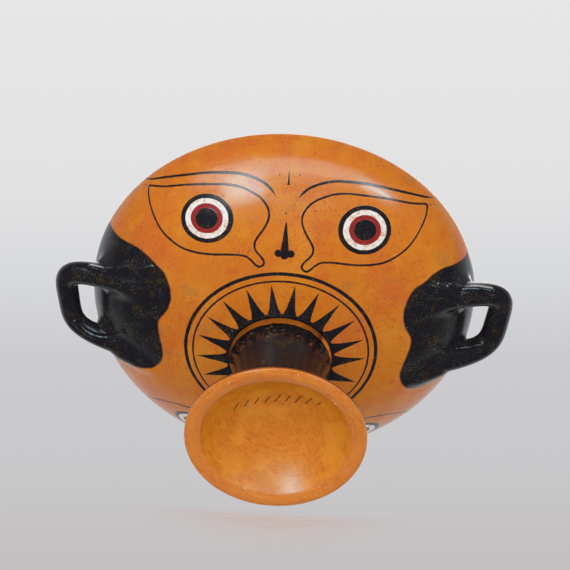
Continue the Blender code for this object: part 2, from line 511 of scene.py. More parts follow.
for side in (-1, 1):
    for ridge in ROOT_RIDGES:
        handle_lines.append(np.array([[*on_skin(-side * turned, reach, depth), thick]
                                      for turned, reach, depth, thick in ridge]))


def polyline_gap(points, line):
    """For each point, the nearest place on a line: distance, segment number and share."""
    starts = line[:-1]
    steps = line[1:] - starts
    lengths = (steps ** 2).sum(1)
    found = []
    for chunk in np.array_split(points, max(1, len(points) // 4000)):
        offset = chunk[:, None, :] - starts[None]
        share = np.clip((offset * steps).sum(2) / lengths, 0.0, 1.0)
        gap = np.linalg.norm(offset - share[..., None] * steps, axis=2)
        number = gap.argmin(1)
        nearest = (np.arange(len(chunk)), number)
        found.append((gap[nearest], number, share[nearest]))
    return [np.concatenate(part) for part in zip(*found)]


def line_side(points, line):
    """How far points lie from a line, below nought on its right, and their place along it."""
    gap, number, share = polyline_gap(points, line)
    step = line[number + 1] - line[number]
    offset = points - line[number] - share[:, None] * step
    side = np.sign(step[:, 0] * offset[:, 1] - step[:, 1] * offset[:, 0])
    return gap * side, (number + share) / (len(line) - 1)


def in_section(points):
    """The radius and the height of each point."""
    return np.stack([np.hypot(points[:, 0], points[:, 1]), points[:, 2]], 1)


def body_height(points):
    """Height of each point above the bowl's outer skin."""
    return line_side(in_section(points), outside)[0]


def coil_height(points):
    """Height of each point above the nearer coil's skin."""
    heights = []
    for line in handle_lines:
        gap, number, share = polyline_gap(points, line[:, :3])
        half = line[number, 3] * (1.0 - share) + line[number + 1, 3] * share
        heights.append(gap - half)
    return np.minimum.reduce(heights)


def soft_union(points):
    """Height above the two shapes joined with a soft crease."""
    one = body_height(points)
    other = coil_height(points)
    near = np.clip(ROOT_BLEND - np.abs(one - other), 0.0, None) / ROOT_BLEND
    return np.minimum(one, other) - near ** 2 * ROOT_BLEND / 4


def to_skin(points, rounds):
    """Points moved onto the soft union's skin."""
    step = 0.02
    for _ in range(rounds):
        height = soft_union(points)
        slope = np.stack([(soft_union(points + step * axis) - height) / step
                          for axis in np.eye(3)], 1)
        size = np.clip((slope ** 2).sum(1), 0.2, None)
        points = points - (height / size)[:, None] * slope
    return points


def read_all(things, label, width, kind=float):
    """One row of numbers for each point or edge of a mesh."""
    values = np.empty(len(things) * width, dtype=kind)
    things.foreach_get(label, values)
    return values.reshape(-1, width)


def move_points():
    """Give the points of the cup's mesh their new places."""
    cup_mesh.vertices.foreach_set("co", (places * MM).ravel())
    cup_mesh.update()


weld = bmesh.new()
weld.from_mesh(cup_mesh)
places = np.array([vert.co for vert in weld.verts]) / MM
crease = ((np.abs(body_height(places)) < CREASE_HALF)
          & (np.abs(coil_height(places)) < CREASE_HALF))
weld.verts.ensure_lookup_table()
bmesh.ops.remove_doubles(weld, verts=[weld.verts[i] for i in np.flatnonzero(crease)],
                         dist=WELD_GAP * MM)
bmesh.ops.triangulate(weld, faces=[face for face in weld.faces if len(face.verts) > 4])
weld.to_mesh(cup_mesh)
weld.free()

count = len(cup_mesh.vertices)
places = read_all(cup_mesh.vertices, "co", 3) / MM
over_body = body_height(places)
over_coil = coil_height(places)
near_root = (over_body > -0.6) & (over_body < ROOT_TOP) & (np.abs(soft_union(places)) > 0.02)
ends = read_all(cup_mesh.edges, "vertices", 2, np.int64)
degree = np.bincount(ends.ravel(), minlength=count)
for _ in range(BLEND_ROUNDS):
    places[near_root] = to_skin(places[near_root], 2)
    total = np.zeros_like(places)
    np.add.at(total, ends[:, 0], places[ends[:, 1]])
    np.add.at(total, ends[:, 1], places[ends[:, 0]])
    middle = total / degree[:, None]
    places[near_root] += 0.5 * (middle - places)[near_root]
places[near_root] = to_skin(places[near_root], 2)
move_points()
print("points moved near the roots:", int(near_root.sum()))

# %% [markdown]
# ## Crests on the arms
#
# Wet fingers that smooth a root onto the bowl leave a thin crest along each arm, and it catches
# the light as a bright line. Each crest is a line of places on the skin, and points near it are
# raised a little, most at the line itself.

# %% Raise the crests
CREST_HEIGHT = 0.45
CREST_REACH = 2.4
CRESTS = [[(-92.0, -25.0, 87.0), (-85.5, -25.0, 84.2), (-81.7, -26.4, 82.6),
           (-77.6, -28.4, 80.6), (-73.7, -30.8, 79.0), (-69.2, -32.4, 77.6),
           (-64.2, -34.2, 76.0), (-62.0, -35.0, 75.4)],
          [(-100.0, 11.4, 89.0), (-95.2, 14.8, 87.0), (-91.1, 16.0, 85.2), (-87.2, 15.8, 84.0),
           (-82.4, 14.2, 83.1), (-78.3, 11.4, 81.5), (-75.3, 7.8, 79.2)],
          [(66.0, -36.6, 77.6), (72.2, -33.2, 78.6), (78.0, -30.0, 81.0), (84.0, -27.2, 84.0),
           (90.0, -25.4, 86.3), (98.0, -23.2, 88.0)],
          [(73.0, 4.0, 77.6), (77.5, 7.0, 80.6), (83.0, 10.6, 84.6), (89.5, 12.0, 87.6),
           (96.0, 11.4, 89.0)]]
crest_gap = np.full(count, 20.0)
close_by = np.flatnonzero((np.abs(places[:, 0]) > 58.0) & (places[:, 2] > 70.0))
for crest in CRESTS:
    gap_here = polyline_gap(places[close_by], np.array(crest))[0]
    crest_gap[close_by] = np.minimum(crest_gap[close_by], gap_here)
outward = read_all(cup_mesh.vertices, "normal", 3)
rise = np.clip(1.0 - crest_gap / CREST_REACH, 0.0, 1.0)
rise = CREST_HEIGHT * rise ** 2 * (3.0 - 2.0 * rise)
places += outward * rise[:, None]
move_points()
print("points raised along", len(CRESTS), "crests:", int((rise > 0.0).sum()))

# %% [markdown]
# ## A map of the painted skin
#
# The painter works on a curved wall, so a plain side projection would stretch the drawing. The
# skin is unrolled instead: the distance from the axis, measured along the skin, and the angle
# round the axis give each point a place on a flat map, with the axis in the middle. One face is
# drawn above the middle, and the same face, turned half round, below it.

# %% Map of the skin
FACE_MIDDLE = -0.7
REVERSE_SPREAD = 1.07
REVERSE_DROP = 1.75

in_plane = in_section(places)
_, number, share = polyline_gap(in_plane, outside)
run = skin_run[number] * (1.0 - share) + skin_run[number + 1] * share
angle = np.arctan2(places[:, 0], -places[:, 1])
map_x = run * np.sin(angle)
map_y = run * np.cos(angle)
first_face = map_y >= 0.0
face_x = np.where(first_face, map_x - FACE_MIDDLE, -map_x / REVERSE_SPREAD)
face_y = np.where(first_face, map_y, -map_y + REVERSE_DROP)
lean = 0.5 * np.clip(face_x / 8.0, -1.0, 1.0)
eye_x = np.abs(face_x + np.abs(lean))
eye_y = face_y + lean
handle_skin = (over_coil < over_body - 0.3) & (over_body > 0.3)
print("map of the skin reaches", round(float(run.max()), 1), "mm")

# %% [markdown]
# ## Drawing the lines
#
# The outlines are smooth curves through a few named points. They are given for one side of the
# face only, so that one set of points serves every eye. For each point of the mesh the script
# works out how far it lies from a curve and on which side, and keeps that as an attribute. The
# material then paints wherever the distance is less than half a brush's width, which gives a
# clean line at any closeness, without a picture.

# %% Curves and distances
EYE_OUTLINE = [(75.5, 74.4), (64.5, 76.3), (53.8, 79.2), (45, 81.2), (36.5, 82.6), (29.5, 83.5),
               (22.8, 83.2), (17, 81.5), (12.4, 79.2), (9, 75.5), (7.8, 71.8), (8.4, 68.5),
               (10.4, 64.5), (13, 60.3), (13.8, 57.4), (12.8, 54.6), (9.6, 51.4), (8.8, 49),
               (10.8, 47.4), (12.8, 48.2), (15, 50.2), (18, 51.7), (23.7, 51.6), (34.8, 50),
               (43.4, 49.6), (50.6, 50.7), (58.8, 54.5), (65.2, 60), (72.3, 68.7), (75.5, 74.4)]
BROW = [(82, 77), (75, 78.2), (64, 81.4), (54, 84.2), (45, 86.6), (37, 88.2), (30, 89),
        (24, 89.3), (17.5, 88.4), (11.3, 86.2), (8, 83.8), (5.4, 80.8)]
EYE_CENTRE = (38.2, 66.35)
EYE_STRETCH = (1.035, 0.908, 0.908)
EYES_ACROSS = -0.25
EYES_TILT = 0.55
HANDLE_PATCH = [(-18.6, 118), (-18.6, 111), (-20.2, 100.5), (-22.2, 93), (-24.6, 86), (-25.6, 80),
                (-25.9, 74), (-25.8, 68), (-22.9, 62.6), (-18.4, 59), (-14, 57.9), (-9.5, 58.2),
                (-5.6, 59.6), (-2.2, 60.4), (1.5, 60), (6.5, 59), (12, 58.1), (18, 58.7),
                (22.6, 61.9), (25.4, 66.3), (26.3, 71.5), (25.8, 77.3), (24.4, 84), (23.8, 90),
                (23.7, 98), (23.7, 108), (23.7, 118)]


def smooth_line(points, fineness=10):
    """A smooth line through all the points."""
    points = np.array(points, dtype=float)
    points = np.concatenate([[2 * points[0] - points[1]], points, [2 * points[-1] - points[-2]]])
    t = np.linspace(0.0, 1.0, fineness, endpoint=False)[:, None]
    line = []
    for a, b, c, d in zip(points[:-3], points[1:-2], points[2:-1], points[3:]):
        line.append(0.5 * (2 * b + (c - a) * t + (2 * a - 5 * b + 4 * c - d) * t ** 2
                           + (3 * b - a - 3 * c + d) * t ** 3))
    line.append(points[-2:-1])
    return np.concatenate(line)


eye_places = np.stack([eye_x, eye_y], 1)
eye_line, _ = line_side(eye_places, smooth_line(EYE_OUTLINE))
brow_side, brow_along = line_side(eye_places, smooth_line(BROW))
print("eye outline passes", int((np.abs(eye_line) < 0.5).sum()), "points of the mesh")

# %% [markdown]
# ## Black patches, rings and rays
#
# Round each pair of handle roots the painter fills a patch with black, with two lobes below the
# roots. Its edge is drawn by angle and run, and then laid on the map. The rays round the stem
# were drawn by eye, so their tips are at their own angles; the script keeps how far each one
# has slipped from an even division, because that stays smooth all the way round.

# %% Patches and rays
PATCHES = {-1: (84.2, 0.0), 1: (88.0, 3.0)}
RAY_TIPS = [-114.9, -97.2, -79.1, -62.0, -44.6, -25.7, -8.5, 7.3, 24.0, 40.8, 57.7, 75.5, 91.7,
            113.8, 132.4, 151.0, 170.0, 188.5, 207.2, 226.4]
RAY_COUNT = len(RAY_TIPS)

map_places = np.stack([map_x, map_y], 1)
patch_edge = np.full(count, 50.0)
for side, (middle_angle, raised) in PATCHES.items():
    patch = np.array(HANDLE_PATCH)
    patch_angle = side * np.radians(middle_angle + patch[:, 0])
    patch_run = patch[:, 1] + raised
    drawn = np.stack([patch_run * np.sin(patch_angle), patch_run * np.cos(patch_angle)], 1)
    distance, _ = line_side(map_places, smooth_line(drawn))
    same_side = map_x * side > 0.0
    patch_edge[same_side] = (distance * -side)[same_side]
patch_edge[handle_skin] = -20.0

degrees = np.degrees(angle)
wrapped = np.mod(degrees - RAY_TIPS[0], 360.0) + RAY_TIPS[0]
ray_number = np.interp(wrapped, RAY_TIPS + [RAY_TIPS[0] + 360.0], np.arange(RAY_COUNT + 1))
even_number = (wrapped - RAY_TIPS[0]) * RAY_COUNT / 360.0
ray_slip = ray_number - even_number

eye_gap = np.full(count, 90.0)
for side in (-1, 1):
    face_place = (side * EYE_CENTRE[0] + EYES_ACROSS, EYE_CENTRE[1] - side * EYES_TILT)
    for centre in ((face_place[0] + FACE_MIDDLE, face_place[1]),
                   (-face_place[0] * REVERSE_SPREAD, -(face_place[1] - REVERSE_DROP))):
        middle = on_skin(np.degrees(np.arctan2(*centre)), np.hypot(*centre))
        eye_gap = np.minimum(eye_gap, np.linalg.norm((places - middle) / EYE_STRETCH, axis=1))

section_number = polyline_gap(in_plane, section)[1]
inner_end = len(inside) + 3
under_start = len(section) - len(hollow) - 2
inner_skin = (section_number < inner_end) & ~handle_skin
under_skin = (section_number >= under_start) & ~handle_skin

kept = dict(skin_run=run, face_x=face_x, face_y=face_y, eye_line=eye_line, brow_side=brow_side,
            brow_along=brow_along, eye_gap=eye_gap, crest_gap=crest_gap, patch_edge=patch_edge,
            ray_slip=ray_slip, inner_skin=inner_skin, under_skin=under_skin,
            handle_skin=handle_skin)
for name, values in kept.items():
    slot = cup_mesh.attributes.new(name, "FLOAT", "POINT")
    slot.data.foreach_set("value", np.ascontiguousarray(values, dtype=np.float32))
print("kept", len(cup_mesh.attributes), "attributes")

# %% [markdown]
# ## A material made of sums
#
# The painting is all arithmetic: a ring is where a distance lies between two numbers. Long
# chains of Math nodes are hard to read in code, so a small helper lets the script write them as
# plain sums, and adds one node for each sign.

# %% Sums in the material
paint.use_nodes = True
skin = paint.node_tree


class Field:
    """A number that varies over the surface, which can be added to and multiplied."""

    def __init__(self, socket):
        self.socket = socket

    def __add__(self, other):
        return sum_of("ADD", self, other)

    def __sub__(self, other):
        return sum_of("SUBTRACT", self, other)

    def __mul__(self, other):
        return sum_of("MULTIPLY", self, other)

    def __truediv__(self, other):
        return sum_of("DIVIDE", self, other)

    def __abs__(self):
        return sum_of("ABSOLUTE", self)


def sum_of(operation, *values, clamp=False):
    """One Math node of the material."""
    return Field(maths(skin, operation, *values, use_clamp=clamp).outputs[0])


def below(value, limit, softness=0.16):
    """One where the value is below the limit, nought where it is above, with a soft edge."""
    return sum_of("MULTIPLY_ADD", value - limit, -1.0 / softness, 0.5, clamp=True)


def above(value, limit, softness=0.16):
    """One where the value is above the limit, nought where it is below."""
    return below(value * -1.0, -limit, softness)


def both(*masks):
    """Where masks overlap."""
    return reduce(Field.__mul__, masks)


def either(*masks):
    """The strongest of some masks."""
    return reduce(lambda one, other: sum_of("MAXIMUM", one, other), masks)


def without(mask, other):
    """The part of a mask outside another."""
    return mask * sum_of("SUBTRACT", 1.0, other)


def stored(name):
    """A number stored on the mesh."""
    return Field(plug(skin, "ShaderNodeAttribute", {}, attribute_name=name).outputs["Fac"])


def grain(place, scale, detail=2.0, roughness=0.5, seed=0.0):
    """Noise, from nought to one, with a scale in grains for each millimetre."""
    noise = plug(skin, "ShaderNodeTexNoise",
                 {"Vector": place, "W": seed, "Scale": scale, "Detail": detail,
                  "Roughness": roughness}, noise_dimensions="4D")
    return Field(noise.outputs["Fac"])


def ramp(value, low, high, start=0.0, end=1.0):
    """A smooth rise from start to end while the value goes from low to high."""
    return Field(map_range(skin, value, low, high, start, end).outputs[0])


def fired(red, green, blue):
    """A colour as seen on a screen, from 0 to 255, as the amounts of light that a shader uses."""
    values = []
    for level in (red, green, blue):
        share = level / 255
        values.append(share / 12.92 if share <= 0.04045 else ((share + 0.055) / 1.055) ** 2.4)
    return (*values, 1.0)


def layered(colour, *layers):
    """A colour with others laid over it in order, each through its mask."""
    for top, mask in layers:
        mix = plug(skin, "ShaderNodeMix", {0: mask, 6: colour, 7: top}, data_type="RGBA")
        colour = mix.outputs[2]
    return colour


def vector(x, y, z):
    """Three fields as one place."""
    return plug(skin, "ShaderNodeCombineXYZ", {0: x, 1: y, 2: z})


coordinates = plug(skin, "ShaderNodeTexCoord", {}).outputs["Object"]
place = vector_maths(skin, "SCALE", coordinates, Scale=1.0 / MM)
x, y, z = [Field(part) for part in plug(skin, "ShaderNodeSeparateXYZ", {0: place}).outputs]
radius = sum_of("SQRT", x * x + y * y)
turn_angle = sum_of("ARCTAN2", x, y * -1.0) * (180.0 / pi)
print("the material's places are in millimetres")

# %% [markdown]
# ## Clay
#
# Fired clay of this kind is orange, clouded with redder and yellower patches from the kiln, and
# polished, which leaves faint lines round the wheel and small dark specks. Noise at several
# sizes gives the clouds, the grain and the specks. The wheel lines come from noise that is
# stretched round the axis: it changes fast with height and radius, and slowly with the angle.

# %% Clay
run_field = stored("skin_run")
inner = stored("inner_skin")
under = stored("under_skin")
on_handle = stored("handle_skin")

guarded = sum_of("MAXIMUM", radius, 0.01)
toward_x = x / guarded
toward_y = y / guarded
wheel_lines = grain(vector(radius * 1.4, z * 1.4, toward_x * 1.5), 1.0, detail=3.0,
                    roughness=0.6, seed=toward_y * 1.5)
drift = grain(place, 0.06, seed=15.0) * 8.0
round_lines = grain(vector((radius + drift) * 0.9, toward_x * 2.2, 3.0), 1.0, detail=3.0,
                    roughness=0.6, seed=toward_y * 2.2 + radius * 0.06)
slant_lines = grain(vector((x + y) * 0.13, (y - x + drift) * 0.75, 0.0), 1.0, detail=3.0,
                    roughness=0.6, seed=16.0)
brush_lines = (round_lines + slant_lines) * 0.5
mottle = grain(place, 0.42, detail=4.0, roughness=0.7, seed=17.0)
clouds = grain(place, 0.028, detail=3.0, roughness=0.55, seed=2.0)
yellow_clouds = grain(place, 0.035, seed=3.0)
fine = grain(place, 1.6, roughness=0.6, seed=4.0)
spots = grain(place, 1.0, roughness=0.65, seed=5.0)
spot_fields = grain(place, 0.05, detail=1.0, seed=6.0)
patches_small = grain(place, 0.13, detail=3.0, roughness=0.6, seed=13.0)
smoke = grain(place, 0.09, detail=3.0, roughness=0.6, seed=14.0)

CLAY = fired(206, 117, 30)
CLAY_RED = fired(204, 98, 36)
CLAY_YELLOW = fired(214, 134, 36)
CLAY_SPOT = fired(166, 66, 32)
CLAY_SMOKE = fired(150, 106, 62)
HOLLOW_DARK = fired(190, 104, 20)
HOLLOW_LIGHT = fired(228, 150, 44)
HOLLOW_CLAY = fired(210, 124, 14)
RING_CLAY = fired(216, 126, 52)
hollow_zone = both(under, below(radius, 33.6, 1.2))
speckle = both(ramp(spots, 0.57, 0.66), ramp(spot_fields, 0.44, 0.58))
speckle = without(speckle, under * 0.75)
clay = layered(
    CLAY,
    (CLAY_RED, ramp(clouds, 0.48, 0.64) * 0.75),
    (CLAY_YELLOW, ramp(yellow_clouds, 0.5, 0.66) * 0.8),
    (CLAY_RED, ramp(patches_small, 0.55, 0.68) * 0.75),
    (CLAY_YELLOW, ramp(patches_small, 0.45, 0.32) * 0.6),
    (CLAY_SMOKE, ramp(smoke, 0.58, 0.72) * 0.4),
    (RING_CLAY, without(under, hollow_zone) * 0.7),
    (HOLLOW_CLAY, hollow_zone * 0.8),
    (HOLLOW_DARK, both(under, ramp(brush_lines, 0.5, 0.62)) * 0.8),
    (HOLLOW_LIGHT, both(under, ramp(brush_lines, 0.48, 0.37)) * 0.6),
    (CLAY_SPOT, ramp(mottle, 0.55, 0.72) * 0.45),
    (CLAY_YELLOW, ramp(mottle, 0.46, 0.3) * 0.55),
    (CLAY_RED, ramp(wheel_lines, 0.5, 0.72) * 0.4),
    (CLAY_YELLOW, ramp(fine, 0.5, 0.7) * 0.5),
    (HOLLOW_LIGHT, both(hollow_zone, ramp(smoke, 0.46, 0.6)) * 0.5),
    (CLAY_SPOT, speckle * 0.75))
print("clay mixed")

# %% [markdown]
# ## Painted masks
#
# Each motif is a mask between nought and one. A slow noise is added to the distances, so that a
# line swells and thins a little, as a brush does.

# %% Eyes, brows and nose
EYE_RINGS = (5.3, 7.6, 10.25, 12.45)

waver = (grain(place, 0.35, detail=1.0, seed=7.0) - 0.5) * 0.5
face_across = stored("face_x")
face_down = stored("face_y")
eye_edge = stored("eye_line")
brow_edge = stored("brow_side")
brow_run = stored("brow_along")
eye_reach = stored("eye_gap") + waver * 0.8

on_bowl = both(below(inner, 0.5, 0.3), above(run_field, 24.4), above(z, 58.0))

outline = below(abs(eye_edge) + waver * 0.7, 0.5)
brow_taper = sum_of("MINIMUM", ramp(brow_run, -0.05, 0.12), ramp(brow_run, 1.02, 0.9))
brow = below(abs(brow_edge) + waver * 0.5 - brow_taper * 0.62, 0.0)
pupil = below(eye_reach, EYE_RINGS[0])
red_ring, white_ring, black_ring = [without(below(eye_reach, wide), below(eye_reach, narrow))
                                    for narrow, wide in zip(EYE_RINGS, EYE_RINGS[1:])]


def dot(across, down, size):
    """A round spot of the brush at a place of the face's map."""
    right = face_across - across
    low = face_down - down
    return below(sum_of("SQRT", right * right + low * low) + waver * 0.4, size)


def wedge(top, bottom, thin, thick):
    """An upright stroke that widens downwards."""
    down = sum_of("MULTIPLY_ADD", face_down - top, 1.0 / (bottom - top), 0.0, clamp=True)
    width = down * (thick - thin) + thin
    ends = sum_of("MAXIMUM", face_down - top, face_down * -1.0 + bottom)
    return both(below(abs(face_across) - width + waver * 0.4, 0.0), below(ends, 0.0))


nose = either(wedge(69.6, 54.5, 0.3, 2.2), dot(-2.9, 55.0, 1.75), dot(2.9, 55.0, 1.75),
              dot(0.0, 54.2, 1.9))
forehead_mark = wedge(93.1, 86.5, 0.1, 0.7)
freckles = either(dot(-4.6, 91.1, 0.4), dot(5.2, 91.3, 0.4), dot(-0.4, 73.7, 0.42))

# %% Rings and rays
THIN_RING = (41.65, 0.45)
THICK_RING = (45.3, 0.85)
RAYS_START = 24.9
RAYS_END = 39.8

ring_waver = waver * 0.6


def ring(distance, middle, half):
    """A painted ring at a distance, with half its width."""
    return below(abs(distance - middle) + ring_waver, half)


thin_ring = ring(run_field, *THIN_RING)
thick_ring = ring(run_field, *THICK_RING)
ray_turn = (turn_angle - RAY_TIPS[0]) * (RAY_COUNT / 360.0) + stored("ray_slip")
ray_off = abs(ray_turn - sum_of("ROUND", ray_turn)) * (2 * pi / RAY_COUNT) * run_field
ray_width = (run_field * -1.0 + RAYS_END) * 0.19 + ramp(run_field, 28.6, 25.4, 0.1, 0.6)
rays = both(below(ray_off - ray_width + waver * 0.5, 0.0), below(run_field, RAYS_END))
ray_roots = below(run_field + waver, RAYS_START)
groove = both(above(z, 56.9), below(radius, 25.4))
patches = below(stored("patch_edge") + waver * 1.2, 0.0)
print("masks drawn for the face, the rings and", RAY_COUNT, "rays")

# %% [markdown]
# ## Where the black lies
#
# The black slip covers the handles and their patches, the stem and the top of the foot, and the
# inside of the bowl, where a round field is left bare with a ring and a dot in it. The collar
# under the bowl, the foot's edge and its underside stay clay. The hidden sides are finished
# plainly, as on cups of this kind. A row of short slanted marks lies in the foot's hollow.

# %% Black slip
STEM_TOP = 53.7
STEM_END = 1.8
STEM_REACH = 41.5
INSIDE_EDGE = 24.0
TONDO_RING = (21.0, 0.4)
TONDO_DOT = 1.6

inside_skin = above(inner, 0.5, 0.3)
stem_zone = both(below(z + waver * 2.0, STEM_TOP), above(z - waver, STEM_END),
                 below(radius, STEM_REACH))
stem_zone = without(without(stem_zone, under), inside_skin)
inside_zone = both(inside_skin, above(radius - waver, INSIDE_EDGE))
tondo_rings = both(inside_skin, either(ring(radius, *TONDO_RING), below(radius, TONDO_DOT)))
lines = both(on_bowl, either(outline, brow, black_ring, nose, forehead_mark, freckles,
                             thin_ring, thick_ring, rays, ray_roots))
lines = either(lines, without(groove, inside_skin))
gloss = either(both(on_bowl, either(patches, pupil)), stem_zone, inside_zone, on_handle)
black = either(lines, gloss, tondo_rings)

STROKE_PITCH = 4.3
STROKE_SLANT = 0.45
STROKE_ROW = 9.0
STROKE_TILT = 0.16
STROKE_SPAN = 19.5
stroke_x = x + (y + STROKE_ROW) * STROKE_SLANT
stroke_y = y + STROKE_ROW + x * STROKE_TILT
stroke_cell = sum_of("ROUND", stroke_x / STROKE_PITCH)
stroke_off = abs(stroke_x - stroke_cell * STROKE_PITCH)
stroke_noise = plug(skin, "ShaderNodeTexWhiteNoise", {"W": stroke_cell}, noise_dimensions="1D")
stroke_length = Field(stroke_noise.outputs["Value"]) * 1.2 + 1.9
strokes = both(below(stroke_off + waver * 0.5, 0.36), below(abs(stroke_y) - stroke_length, 0.0),
               under, below(abs(x), STROKE_SPAN))
print("black slip covers the handles, the patches, the stem and the inside")

# %% [markdown]
# ## Wear
#
# Black slip rubs thin and shows brown and olive, with small golden specks, and the stem is rubbed
# down to the clay in places. The slip's edges have a reddish fringe where it was thin. Thin lines
# lose crumbs. The white and the dark red were put on over the clay and are stained and chipped.

# %% Wear and colours
BLACK = fired(28, 27, 33)
BLACK_BROWN = fired(46, 29, 21)
BLACK_OLIVE = fired(84, 80, 36)
GOLD_SPECK = fired(128, 118, 94)
STEM_RUBBED = fired(158, 104, 44)
FRINGE = fired(96, 44, 26)
WHITE_SLIP = fired(230, 226, 222)
WHITE_STAIN = fired(206, 150, 104)
RED_SLIP = fired(152, 40, 38)
RED_DARK = fired(108, 30, 24)
STROKE_COLOUR = fired(74, 34, 26)

wear_clouds = grain(place, 0.11, detail=3.0, roughness=0.6, seed=8.0)
wear_specks = grain(place, 1.9, roughness=0.7, seed=9.0)
crumbs = grain(place, 0.9, detail=3.0, roughness=0.7, seed=10.0)
speck_fields = ramp(grain(place, 0.16, roughness=0.6, seed=19.0), 0.42, 0.6)
speck_fields = without(speck_fields, both(stem_zone, below(radius, 30.0)))
rubbed = grain(vector(toward_x * 11.0, toward_y * 11.0, z * 0.8), 1.0, detail=3.0,
               roughness=0.65, seed=18.0)
rubbed = both(ramp(rubbed, 0.57, 0.63), both(below(z, 52.6, 1.0), above(z, 45.0, 3.0)))
slip = layered(
    BLACK,
    (BLACK_BROWN, ramp(wear_clouds, 0.48, 0.7) * 0.6),
    (BLACK_OLIVE, both(ramp(wear_clouds, 0.57, 0.7), ramp(crumbs, 0.44, 0.6)) * 0.45),
    (GOLD_SPECK, both(ramp(wear_specks, 0.575, 0.66), speck_fields) * 0.7),
    (STEM_RUBBED, both(rubbed, below(radius, 26.0)) * 0.65))

stain = ramp(grain(place, 0.5, detail=3.0, roughness=0.65, seed=11.0), 0.46, 0.68)
white = layered(WHITE_SLIP, (WHITE_STAIN, stain * 0.9))
red = layered(RED_SLIP, (RED_DARK, ramp(fine, 0.4, 0.65) * 0.45),
              (CLAY, ramp(crumbs, 0.6, 0.7) * 0.6))

line_hold = ramp(crumbs, 0.76, 0.66)
edge_band = both(on_bowl, below(abs(stored("patch_edge") + waver * 1.2 - 0.1), 0.35, 0.3))
# A reddish dark band runs round the upper part of the foot's side wall.
foot_side_band = both(above(radius, 39.4, 0.4), below(z + waver, 2.4), above(z - waver, 1.2))
chips = both(ramp(grain(place, 0.8, detail=1.0, seed=12.0), 0.735, 0.76), under,
             above(radius, 32.5, 1.0))
colour = layered(
    clay,
    (white, both(on_bowl, white_ring)),
    (red, both(on_bowl, red_ring)),
    (FRINGE, edge_band * 0.6),
    (FRINGE, lines * 0.5),
    (slip, lines * line_hold),
    (slip, either(gloss, tondo_rings)),
    (FRINGE, foot_side_band * 0.8),
    (STROKE_COLOUR, strokes * 0.85),
    (WHITE_SLIP, chips))
print("colours laid on")

# %% [markdown]
# ## Polish
#
# The clay is burnished to a soft gloss, and the black slip is glossier. Both vary from place to
# place, which keeps a reflection from looking like plastic. The gloss of the clay is tinted, so
# that a white lamp stays white on orange. The bump is shallow: wheel lines, the grain of the
# clay, slightly raised crumbs in the slip, and the sharp top of each crest.

# %% Polish and relief
GLOSS = 0.42
CLAY_SHEEN = (0.2, 0.92, 1.0, 1.0)
SLIP_SHEEN = (1.0, 1.0, 1.0, 1.0)
STEM_SHEEN = (0.42, 0.4, 0.44, 1.0)

crest = ramp(stored("crest_gap") + waver * 0.8, 2.2, 0.0) * gloss
collar_zone = both(below(z, 57.0), above(z, 53.6), below(radius, 24.6))
clay_rough = ramp(wheel_lines, 0.35, 0.65, 0.13, 0.25) + ramp(clouds, 0.4, 0.7, 0.0, 0.06)
clay_rough = clay_rough + under * 0.12 - collar_zone * 0.08
slip_rough = ramp(wear_specks, 0.3, 0.75, 0.09, 0.30) - crest * 0.06
rough_mix = plug(skin, "ShaderNodeMix", {0: black, 2: clay_rough, 3: slip_rough})
sheen = layered(CLAY_SHEEN, (SLIP_SHEEN, black), (STEM_SHEEN, stem_zone))
relief = wheel_lines * 0.06 + fine * 0.025 + wear_specks * black * 0.08 + black * 0.02
relief = relief + crest * 1.0
bump = plug(skin, "ShaderNodeBump", {"Strength": 0.6, "Distance": MM, "Height": relief})
for label, value in {"Base Color": colour, "Roughness": rough_mix, "Metallic": 0.0,
                     "Specular IOR Level": GLOSS, "Specular Tint": sheen,
                     "Normal": bump}.items():
    feed(skin, skin.nodes["Principled BSDF"].inputs[label], value)
print("the material has", len(skin.nodes), "nodes")

# %% [markdown]
# ## The finished cup
#
# The mesh is turned into one object at the origin. It rides on the cup's only body and stands
# for the plain model's node, so that both always have the same place.

# %% The cup
cup_mesh.materials.clear()
cup_mesh.materials.append(paint)
for face in cup_mesh.polygons:
    face.material_index = 0
    face.use_smooth = True
cup = placed_object("painted_cup", cup_mesh)
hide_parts("kylix")
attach(cup, "root")
print("painted cup:", len(cup_mesh.vertices), "points")

# %% [markdown]
# ## Floor and table
#
# A pale floor lies under the foot. It is drawn from above only, so that a camera that looks up
# from below sees the cup. A second sheet, below the floor, leans against the foot's edge and the
# rim, where the real cup rests when it lies on its side. It fades away from the foot. Its warm
# colour, strongest next to the foot, is a painted warm glow added to the real light it catches.

# %% Floor and table
FLOOR_SIZE = 6.0
FLOOR_LEVEL = -0.0003
TABLE_SPAN = 0.5
TABLE_LEAN = Vector((0.0, 0.438, 0.899))
GLOW_REACH = 0.07
TABLE_CLEAR = 0.4


def sheet_of(name, corners, material):
    """A flat sheet for the studio, apart from the cup, that casts no shadow and shows in no
    reflection.
    """
    mesh = bpy.data.meshes.new(name)
    mesh.from_pydata(corners, [], [(0, 1, 2, 3)])
    mesh.materials.append(material)
    thing = placed_object(name, mesh)
    for kind_of_ray in ("shadow", "diffuse", "glossy", "transmission"):
        setattr(thing, "visible_" + kind_of_ray, False)


def see_through(name, colour):
    """A matt material with a see-through part: the material, its tree and its mix."""
    material = bpy.data.materials.new(name)
    material.use_nodes = True
    tree = material.node_tree
    matt = tree.nodes["Principled BSDF"]
    for label, value in (("Base Color", colour), ("Roughness", 0.9), ("Specular IOR Level", 0.0)):
        feed(tree, matt.inputs[label], value)
    clear = plug(tree, "ShaderNodeBsdfTransparent", {})
    mix = plug(tree, "ShaderNodeMixShader", {1: matt, 2: clear})
    feed(tree, tree.nodes["Material Output"].inputs["Surface"], mix)
    return material, tree, mix


